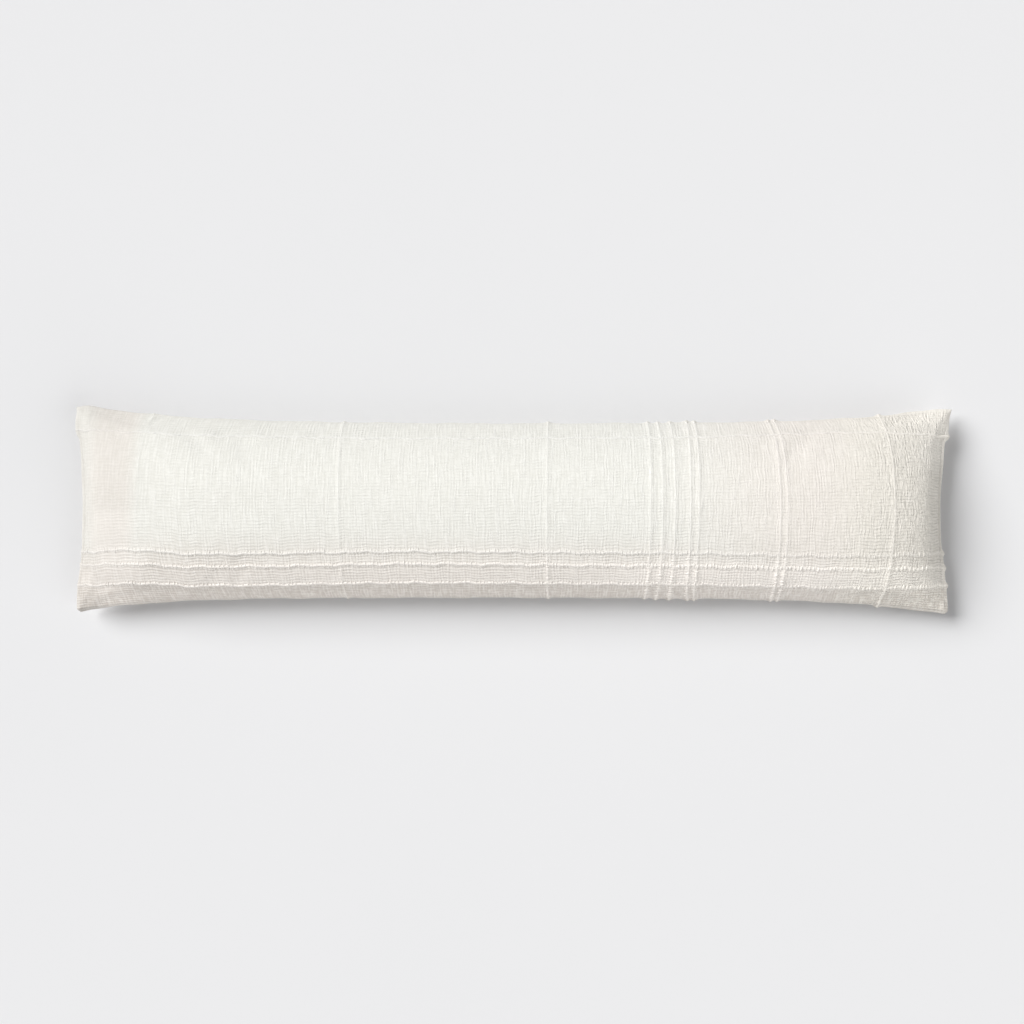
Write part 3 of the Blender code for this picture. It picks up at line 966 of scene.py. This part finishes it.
def yarn_tree():
    """Geometry nodes that lay an uneven yarn along each curve."""
    tree = bpy.data.node_groups.new("laid_yarn", "GeometryNodeTree")
    sockets = tree.interface
    sockets.new_socket("Geometry", in_out="INPUT", socket_type="NodeSocketGeometry")
    for name in ("Step", "Nub Pitch", "Nub Depth", "Slub Depth"):
        sockets.new_socket(name, in_out="INPUT", socket_type="NodeSocketFloat")
    for name in ("Sides", "Seed"):
        sockets.new_socket(name, in_out="INPUT", socket_type="NodeSocketInt")
    sockets.new_socket("Yarn", in_out="INPUT", socket_type="NodeSocketMaterial")
    sockets.new_socket("Geometry", in_out="OUTPUT", socket_type="NodeSocketGeometry")
    given = tree.nodes.new("NodeGroupInput").outputs

    curves = add_node(
        tree, "GeometryNodeResampleCurve",
        {"Curve": given["Geometry"], "Length": given["Step"]}, mode="LENGTH",
    ).outputs["Curve"]
    run = tree.nodes.new("GeometryNodeSplineParameter").outputs["Length"]
    kept_run = add_node(
        tree, "GeometryNodeStoreNamedAttribute",
        {"Geometry": curves, "Name": "run", "Value": run}, data_type="FLOAT", domain="POINT",
    )
    thickness = uneven_thickness(tree, given, run)
    shaped = add_node(
        tree, "GeometryNodeSetCurveRadius",
        {"Curve": kept_run.outputs[0], "Radius": thickness},
    )
    circle = add_node(
        tree, "GeometryNodeCurvePrimitiveCircle",
        {"Resolution": given["Sides"], "Radius": 1.0}, mode="RADIUS",
    )
    around = tree.nodes.new("GeometryNodeSplineParameter").outputs["Factor"]
    section = add_node(
        tree, "GeometryNodeStoreNamedAttribute",
        {"Geometry": circle.outputs["Curve"], "Name": "around", "Value": around},
        data_type="FLOAT", domain="POINT",
    )
    radius = tree.nodes.new("GeometryNodeInputRadius").outputs[0]
    tube = add_node(
        tree, "GeometryNodeCurveToMesh",
        {"Curve": shaped.outputs[0], "Profile Curve": section.outputs[0],
         "Scale": radius, "Fill Caps": True},
    )
    smooth = add_node(tree, "GeometryNodeSetShadeSmooth", {"Geometry": tube.outputs[0]})
    real = add_node(tree, "GeometryNodeRealizeInstances", {"Geometry": smooth.outputs[0]})
    finished = add_node(
        tree, "GeometryNodeSetMaterial",
        {"Geometry": real.outputs[0], "Material": given["Yarn"]},
    )
    result = tree.nodes.new("NodeGroupOutput")
    tree.links.new(finished.outputs[0], result.inputs[0])
    return tree


def curve_object(name, paths):
    """A curve object with one spline for each path of points and radii."""
    curve = bpy.data.curves.new(name, "CURVE")
    curve.dimensions = "3D"
    for points, radii in paths:
        spline = curve.splines.new("POLY")
        spline.points.add(len(points) - 1)
        spline.points.foreach_set("co", np.c_[points, np.ones(len(points))].ravel())
        spline.points.foreach_set("radius", radii)
    return placed(name, curve)


def laid_yarns(name, paths, tree, sizes, cotton):
    """One mesh of the yarns that the tree lays along the paths, of the cotton."""
    source = curve_object(name + "_paths", paths)
    modifier = source.modifiers.new("yarns", "NODES")
    modifier.node_group = tree
    given = {**sizes, "Yarn": cotton}
    for item in tree.interface.items_tree:
        if item.in_out == "INPUT" and item.name in given:
            modifier[item.identifier] = given[item.name]
    depsgraph = bpy.context.evaluated_depsgraph_get()
    depsgraph.update()
    mesh = bpy.data.meshes.new_from_object(source.evaluated_get(depsgraph), depsgraph=depsgraph)
    mesh.name = name
    bpy.data.objects.remove(source)
    return placed(name, mesh)


def crinkle(columns):
    """How strongly the cloth crinkles at places along the length, 0 to 1."""
    return smooth_step((columns - CRINKLE_START) / (CRINKLE_END - CRINKLE_START))


def left_calm(columns):
    """How flat the long cords lie by the left end at places along the length, 0 to 1."""
    return smooth_step((CALM_START - columns) / CALM_FADE)


def cross_cord_paths(top):
    """Paths of the cords across the width, from seam to seam."""
    paths = []
    rows = np.arange(-HALF_WIDTH, HALF_WIDTH + YARN_STEP / 2, YARN_STEP)
    rows = np.minimum(rows, HALF_WIDTH)
    for cord in CROSS_CORDS:
        thick = cord["radius"] * VISIBLE_SHARE * (1 + KNOT_YARN_SHARE * knot_share(cord, rows))
        columns = np.full(len(rows), cord["middle"])
        lift = CORD_CREST * cord["radius"] - thick
        paths.append((top.laid(columns, rows, lift), thick))
    return paths


def long_crest(cord, columns):
    """How far a long cord shows above the cloth, as a share of its radius."""
    return LONG_CREST - cord["sinks"] * crinkle(columns) - CALM_CREST_LOSS * left_calm(columns)


def long_cord_paths(top):
    """Paths of the cords along the length, from end to end."""
    paths = []
    columns = np.arange(-HALF_LENGTH, HALF_LENGTH + YARN_STEP / 2, YARN_STEP)
    columns = np.minimum(columns, HALF_LENGTH)
    for cord in LONG_CORDS:
        thick = np.full(len(columns), cord["radius"])
        rows = np.full(len(columns), row_of(cord))
        lift = long_crest(cord, columns) * cord["radius"] - thick
        paths.append((top.laid(columns, rows, lift), thick))
    return paths


def spindle(reach, step):
    """Steps -1 to 1 along a short yarn, and its rounded taper from middle to ends."""
    steps = np.linspace(-1, 1, max(5, round(2 * reach / step) + 1))
    return steps, np.sqrt(np.maximum(1 - steps ** 4, LEAST_TAPER))


def crossing_yarn(top, random, cord, column, row, upright, strong):
    """A short visible stretch of one yarn where it passes over a cord."""
    reach = cord["radius"] * random.uniform(*CROSSING_REACH)
    radius = random.uniform(*CROSSING_RADIUS) * strong
    steps, taper = spindle(reach, CROSSING_STEP)
    along_yarn = steps * reach + random.uniform(-CROSSING_SHIFT, CROSSING_SHIFT)
    aside = steps * random.uniform(-CROSSING_SLANT, CROSSING_SLANT)
    over = float(long_crest(cord, column)) if upright else CORD_CREST
    over = over * cord["radius"] * np.exp(-(steps * CROSSING_DIVE) ** 2)
    rise = random.uniform(*CROSSING_RISE) * strong
    lift = over + rise * (1 - steps ** 2) - CROSSING_SINK - radius * taper
    if upright:
        return top.laid(column + aside, row + along_yarn, lift), radius * taper
    return top.laid(column + along_yarn, row + aside, lift), radius * taper


def spaced_places(random, half, spacing):
    """Places from one seam to the other, unevenly spaced."""
    place = -half + spacing["start"]
    while place < half - spacing["stop"]:
        yield place
        place += random.uniform(*spacing["pitch"])


def crossing_yarn_paths(top):
    """Yarns that pass over the cords: stronger towards the right end and towards the near seam."""
    random = np.random.default_rng(CROSSING_SEED)
    paths = []
    for cord in LONG_CORDS[1:]:
        for column in spaced_places(random, HALF_LENGTH, OVER_LONG):
            strong = LEFT_STRENGTH + (cord["crossed"] - LEFT_STRENGTH) * float(crinkle(column))
            paths.append(crossing_yarn(top, random, cord, column, row_of(cord), True, strong))
    for cord in CROSS_CORDS[2:]:
        for row in spaced_places(random, HALF_WIDTH, OVER_CROSS):
            near = float(smooth_step((NEAR_START - row) / NEAR_FADE))
            strong = FAR_STRENGTH + NEAR_STRENGTH * near
            paths.append(crossing_yarn(top, random, cord, cord["middle"], row, False, strong))
    return paths


def slub_paths(top, random, kind):
    """Thick places of single yarns, raised in the cloth along woven lines."""
    sizes = SLUBS[kind]
    shortest, longest = sizes["reach"]
    paths = []
    for _ in range(sizes["count"]):
        column = random.uniform(-HALF_LENGTH + SLUB_MARGIN, HALF_LENGTH - SLUB_MARGIN)
        row = random.uniform(-HALF_WIDTH + SLUB_MARGIN, HALF_WIDTH - SLUB_MARGIN)
        crinkled = float(crinkle(column))
        reach = random.uniform(shortest, longest - sizes["shorter"] * crinkled)
        radius = random.uniform(*sizes["radius"])
        height = random.uniform(*sizes["height"]) * (1 + sizes["higher"] * crinkled)
        steps, taper = spindle(reach, SLUB_STEP)
        turns = steps * reach / random.uniform(*SLUB_SWAY_LENGTH) + random.uniform(0, 1)
        aside = (SLUB_SWAY + CRINKLED_SLUB_SWAY * crinkled) * np.sin(math.tau * turns)
        if kind == "upright":
            columns, rows = column + aside, row + steps * reach
        else:
            columns, rows = column + steps * reach, row + aside
        columns = np.clip(columns, -HALF_LENGTH + LIP_WIDTH, HALF_LENGTH - LIP_WIDTH)
        rows = np.clip(rows, -HALF_WIDTH + LIP_WIDTH, HALF_WIDTH - LIP_WIDTH)
        crest = height * (1 - steps ** 2) - SLUB_SINK
        paths.append((top.laid(columns, rows, crest - radius * taper), radius * taper))
    return paths


def new_material(name, finish):
    """A material of a finish, with its tree and its shader."""
    material = bpy.data.materials.new(name)
    material.use_nodes = True
    tree = material.node_tree
    tree.nodes.clear()
    shader = add_node(tree, "ShaderNodeBsdfPrincipled", finish)
    add_node(tree, "ShaderNodeOutputMaterial", {"Surface": shader.outputs[0]})
    return material, tree, shader


def dress_shader(tree, shader, colour, relief, depth, strength):
    """Give a shader its colour and its relief, of a depth and a strength."""
    height = {"Height": relief, "Distance": depth, "Strength": strength}
    bump = add_node(tree, "ShaderNodeBump", height)
    tree.links.new(colour, shader.inputs["Base Color"])
    tree.links.new(bump.outputs[0], shader.inputs["Normal"])


def streaks(tree, place, name):
    """The strength of the named streaks, uneven about a half."""
    along_mm, across_mm, detail, seed = STREAKS[name]
    scaled = add_node(
        tree, "ShaderNodeMapping",
        {"Vector": place, "Location": (seed, seed * 0.7, 0),
         "Scale": (1000 / along_mm, 1000 / across_mm, 1)},
    )
    return add_node(
        tree, "ShaderNodeTexNoise",
        {"Vector": scaled.outputs[0], "Scale": 1.0, "Detail": detail, "Roughness": 0.5},
        noise_dimensions="2D",
    ).outputs["Fac"]


def strengths(tree, bands, measures):
    """How strong each band is, by name, smoothly from its start to where it is whole."""
    found = {}
    for name, (measure, start, whole, before, inside) in bands.items():
        found[name] = add_node(
            tree, "ShaderNodeMapRange",
            {"Value": measures[measure], "From Min": start, "From Max": whole,
             "To Min": before, "To Max": inside},
            interpolation_type="SMOOTHSTEP",
        ).outputs[0]
    return found


def weighted(tree, values, start, **weights):
    """A start with the values that the weights name added to it, each times its weight."""
    for name, weight in weights.items():
        start = worked(tree, values[name], ("MULTIPLY_ADD", weight, start))
    return start


def coloured(tree, colour, *layers):
    """A colour with others laid over it in turn: each a way to blend, a share and a colour."""
    for blend, share, layer in layers:
        colour = add_node(
            tree, "ShaderNodeMix", {0: share, 6: colour, 7: linear(layer)},
            data_type="RGBA", blend_type=blend,
        ).outputs[2]
    return colour


def undyed_colour_with_painted_light_and_shade(tree, tone, colours):
    """Undyed cotton from its darker to its paler yarns, with painted light and shade over it.

    It has painted warm shade towards both ends and on the near side, painted shade at the left
    end, the right end and the far side, and painted light on the near side and at the far right
    corner.
    """
    place = add_node(tree, "ShaderNodeTexCoord").outputs["Object"]
    x, y, _ = add_node(tree, "ShaderNodeSeparateXYZ", {0: place}).outputs
    band = strengths(tree, PAINTED_LIGHT_AND_SHADE_BANDS, {"x": x, "y": y})
    # Painted shade, tinted warm: by the left end, over the right half and on the near side, and
    # taken off at the right end itself
    warm_shade = worked(tree, band["warm_shade_left"], ("MULTIPLY", band["inside_left"]),
                  ("MAXIMUM", band["warm_shade_right"]), ("MAXIMUM", band["warm_shade_near"]),
                  ("SUBTRACT", band["shade_right_end"]))
    beside_left = worked(tree, band["left_start"], ("MINIMUM", band["left_stop"]))
    # Painted light by the left end, across its middle and on its near side
    painted_light_left = worked(tree, band["painted_light_left_middle"], ("MAXIMUM", band["painted_light_left_near"]),
                       ("MULTIPLY", beside_left))
    # Painted light on the near side, from the middle towards the right end
    painted_light_right = worked(tree, band["right_start"], ("MULTIPLY", band["painted_light_right_near"]))
    # Painted light at the far right corner
    corner = worked(tree, band["painted_light_corner_along"], ("MULTIPLY", band["painted_light_corner_across"]))
    # All the painted light: on the near side, less of it at the left seam, by the left end,
    # towards the right end and at the far right corner
    pale = worked(tree, band["painted_light_near"], ("MULTIPLY", band["less_at_left_seam"]),
                  ("MAXIMUM", painted_light_left), ("MAXIMUM", painted_light_right), ("MAXIMUM", corner))
    # Painted shade on the far side, less of it at the right end
    painted_shade_far = worked(tree, band["shade_right_end"], ("MULTIPLY_ADD", -FAR_SHADE_LOSS_AT_END, 1.0),
                      ("MULTIPLY", band["painted_shade_far"]))
    # Painted shade at the left end, less of it by its near side, and on the far side
    painted_shade = worked(tree, beside_left, ("MULTIPLY", band["left_near_side"]),
                  ("MULTIPLY_ADD", -1.0, 1.0), ("MULTIPLY", band["painted_shade_left"]),
                  ("MAXIMUM", painted_shade_far))
    deep_yarn, pale_yarn = colours
    # The yarns' own tones, then the painted light, the warm painted shade, the painted shade at
    # the right end, and the painted shade at the left end and the far side
    return coloured(tree, linear(deep_yarn), ("MIX", tone, pale_yarn),
                    ("MIX", pale, PAINTED_LIGHT_COLOUR), ("MULTIPLY", warm_shade, WARM_SHADE_TINT),
                    ("MULTIPLY", band["shade_right_end"], END_SHADE_TINT), ("MULTIPLY", painted_shade, PAINTED_SHADE_TINT))


def side_by_side(tree, across, pitch):
    """Rounded yarns side by side: 0 between two yarns and 1 on the crest of each."""
    return worked(tree, across, ("DIVIDE", pitch), ("MULTIPLY", math.tau), ("SINE",),
                  ("MULTIPLY_ADD", 0.5, 0.5))


def weave_parts(tree):
    """All that the weave is drawn from, by name: its bands, streaks and crossed yarns."""
    flat = add_node(tree, "ShaderNodeUVMap", uv_map="weave").outputs[0]
    along, across, _ = add_node(tree, "ShaderNodeSeparateXYZ", {0: flat}).outputs
    from_seam = add_node(tree, "ShaderNodeAttribute", attribute_name="from_seam").outputs["Fac"]
    measures = {"along": along, "across": across, "from_seam": from_seam}
    weave = strengths(tree, WEAVE_BANDS, measures)
    warp_sway = weighted(tree, weave, WARP_SWAY, crinkled=CRINKLED_WARP_SWAY)
    u = worked(tree, streaks(tree, flat, "warp_sway"), ("MULTIPLY_ADD", warp_sway, along))
    v = worked(tree, streaks(tree, flat, "weft_sway"), ("MULTIPLY_ADD", WEFT_SWAY, across))
    swayed = add_node(tree, "ShaderNodeCombineXYZ", {0: u, 1: v}).outputs[0]
    for place, names in ((swayed, ("fat_warp", "fat_weft", "crepe")), (flat, ("patch", "blotch"))):
        weave.update({name: streaks(tree, place, name) for name in names})
    weave.update(strengths(tree, STREAK_BANDS, weave))
    weave["warp"] = side_by_side(tree, u, WARP_PITCH)
    weave["weft"] = side_by_side(tree, v, WEFT_PITCH)
    return weave


def weave_relief(tree, weave):
    """Height in millimetres of the crossed yarns, the fat streaks and the crepe."""
    warp_height = weighted(tree, weave, **WARP_HEIGHT)
    crepe_height = weighted(tree, weave, **CREPE_HEIGHT)
    weft_height = weighted(tree, weave, **WEFT_HEIGHT)
    upright = weighted(tree, weave, 0.0, warp=warp_height, fat_warp=FAT_WARP_HEIGHT,
                       crepe=crepe_height)
    upright = worked(tree, upright, ("MULTIPLY", weave["warp_relief"]))
    level = weighted(tree, weave, 0.0, weft=weft_height, fat_weft=FAT_WEFT_HEIGHT)
    return worked(tree, level, ("MULTIPLY", weave["weft_relief"]),
                  ("MULTIPLY_ADD", weighted(tree, weave, **LEVEL_SHARE), upright),
                  ("MULTIPLY", weighted(tree, weave, **RELIEF_SHARE)),
                  ("MULTIPLY", weave["free_of_seam"]))


def weave_colour(tree, weave):
    """Undyed cotton with painted shade in the gaps between the yarns, darkest by the near seam,
    and along the seam's rim.
    """
    tone = weighted(tree, weave, **YARN_TONE)
    warp_crown = weighted(tree, weave, **WARP_CROWN)
    warp_crown = worked(tree, warp_crown, ("MULTIPLY", weave["warp_shade"]))
    crowns = weighted(tree, weave, tone, weft=WEFT_CROWN, warp=warp_crown, blotch=BLOTCH_CROWN)
    gap_shade = strengths(tree, GAP_SHADE_BANDS, {"crowns": crowns})["gap_shade"]
    gap_shade = worked(tree, gap_shade, ("MULTIPLY", weighted(tree, weave, **GAP_SHADE_DEPTH)))
    # Painted shade in the gaps between the yarns, and painted shade along the seam's rim
    return coloured(tree, undyed_colour_with_painted_light_and_shade(tree, tone, WEAVE_COLOURS),
                    ("MULTIPLY", gap_shade, GAP_SHADE_TINT), ("MIX", weave["painted_seam_shade"], SEAM_SHADE_COLOUR))


def slub_cotton():
    """Undyed slub cotton, plain woven from uneven yarns.

    The eye gets a matt cream cloth with a soft sheen at the edges, crossed yarns with painted
    shade in the gaps between them, and thicker streaks where a yarn runs fat. Painted light and
    shade lie over the cloth's colour in broad bands. Towards the right end it crinkles like crepe.
    The real yarns lie about a millimetre apart, too fine to show, so they are drawn 5 mm apart.
    """
    material, tree, shader = new_material("cream_slub_cotton_weave", WEAVE_FINISH)
    weave = weave_parts(tree)
    relief = weave_relief(tree, weave)
    dress_shader(tree, shader, weave_colour(tree, weave), relief, depth=0.001, strength=1.0)
    return material


def spun_cotton(name, colours):
    """Soft-spun cotton yarn: the twist shows as slanting grooves under a short fluff."""
    material, tree, shader = new_material(name, YARN_FINISH)
    run = add_node(tree, "ShaderNodeAttribute", attribute_name="run").outputs["Fac"]
    around = add_node(tree, "ShaderNodeAttribute", attribute_name="around").outputs["Fac"]
    twist = worked(tree, run, ("MULTIPLY_ADD", 1 / TWIST_PITCH, around),
                   ("MULTIPLY", math.tau), ("SINE",))
    place = add_node(tree, "ShaderNodeTexCoord").outputs["Object"]
    fibres = add_node(
        tree, "ShaderNodeTexNoise",
        {"Vector": place, "Scale": FIBRE_SCALE, "Detail": 3.0, "Roughness": 0.6},
    ).outputs["Fac"]
    relief = worked(tree, twist, ("MULTIPLY_ADD", TWIST_SHARE, fibres))
    # The yarn's own tones, with the same painted light and shade as the cloth
    colour = undyed_colour_with_painted_light_and_shade(tree, fibres, colours)
    dress_shader(tree, shader, colour, relief, depth=0.0004, strength=0.6)
    return material


def studio_floor():
    """Matt painted studio floor, a pale grey with hardly any grain."""
    material, tree, shader = new_material("pale_matt_studio_floor", FLOOR_FINISH)
    place = add_node(tree, "ShaderNodeTexCoord").outputs["Object"]
    grain = add_node(
        tree, "ShaderNodeTexNoise", {"Vector": place, "Scale": FLOOR_GRAIN_SCALE, "Detail": 2.0},
    ).outputs["Fac"]
    deep_grey, pale_grey = FLOOR_COLOURS
    colour = coloured(tree, linear(deep_grey), ("MIX", grain, pale_grey))
    tree.links.new(colour, shader.inputs["Base Color"])
    return material


def add_floor():
    """A wide studio floor under the pillow, which isn't a part of it."""
    half = FLOOR_SIZE / 2
    corners = [(-half, -half, 0), (half, -half, 0), (half, half, 0), (-half, half, 0)]
    floor = new_mesh_object("studio_floor", corners, [(0, 1, 2, 3)])
    floor.data.materials.append(studio_floor())
    floor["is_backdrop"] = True


def add_camera():
    """The photograph's camera, straight above the pillow."""
    camera = bpy.data.cameras.new("camera")
    camera.lens = CAMERA_LENS
    camera.sensor_width = CAMERA_SENSOR
    camera.clip_end = CAMERA_CLIP_END
    holder = placed("camera", camera)
    holder.location = CAMERA_PLACE
    bpy.context.scene.camera = holder


def add_lights():
    """A soft key at the upper left, a wide weak fill opposite, and even light from all round."""
    for name, numbers in LIGHTS.items():
        light = bpy.data.lights.new(name, "SUN")
        light.energy = numbers["strength"]
        light.angle = math.radians(numbers["spread"])
        azimuth = math.radians(numbers["azimuth"])
        elevation = math.radians(numbers["elevation"])
        level = math.cos(elevation)
        towards = Vector((
            level * math.cos(azimuth), level * math.sin(azimuth), math.sin(elevation)
        ))
        holder = placed(name, light)
        holder.location = towards * LIGHT_DISTANCE
        holder.rotation_euler = (-towards).to_track_quat("-Z", "Y").to_euler()
    world = bpy.data.worlds.new("studio")
    world.use_nodes = True
    background = world.node_tree.nodes["Background"]
    background.inputs["Color"].default_value = linear("#FFFFFF")
    background.inputs["Strength"].default_value = EVEN_LIGHT
    bpy.context.scene.world = world


def write_sizes(part_box):
    """Work out the part's box and the dressed pillow's box as lists of numbers, which are not
    kept.
    """
    for name, box in (("part", part_box), ("dressed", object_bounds())):
        [[float(value) for value in corner] for corner in box]


add_camera()
add_lights()
add_floor()

top, back, rim = filled_panels()
cover = build_cover(top, back, rim)
cover.data.materials.append(slub_cotton())
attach(cover, "root")
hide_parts("pillow")

cord_cotton = spun_cotton("soft_spun_cotton_cord", CORD_COLOURS)
slub_cotton_yarn = spun_cotton("fat_cotton_slub", SLUB_COLOURS)
random = np.random.default_rng(SLUB_SEED)
tree = yarn_tree()
for name, paths, sizes, cotton in (
    ("cross_cords", cross_cord_paths(top), CORD_YARN, cord_cotton),
    ("long_cords", long_cord_paths(top), LONG_CORD_YARN, cord_cotton),
    ("crossing_yarns", crossing_yarn_paths(top), CROSSING_YARN, slub_cotton_yarn),
    ("upright_slubs", slub_paths(top, random, "upright"), SLUB_YARN, slub_cotton_yarn),
    ("level_slubs", slub_paths(top, random, "level"), SLUB_YARN, slub_cotton_yarn),
):
    yarn = laid_yarns(name, paths, tree, sizes, cotton)
    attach(yarn, "root")

bpy.context.scene.view_settings.view_transform = "Standard"
write_sizes(part_box)
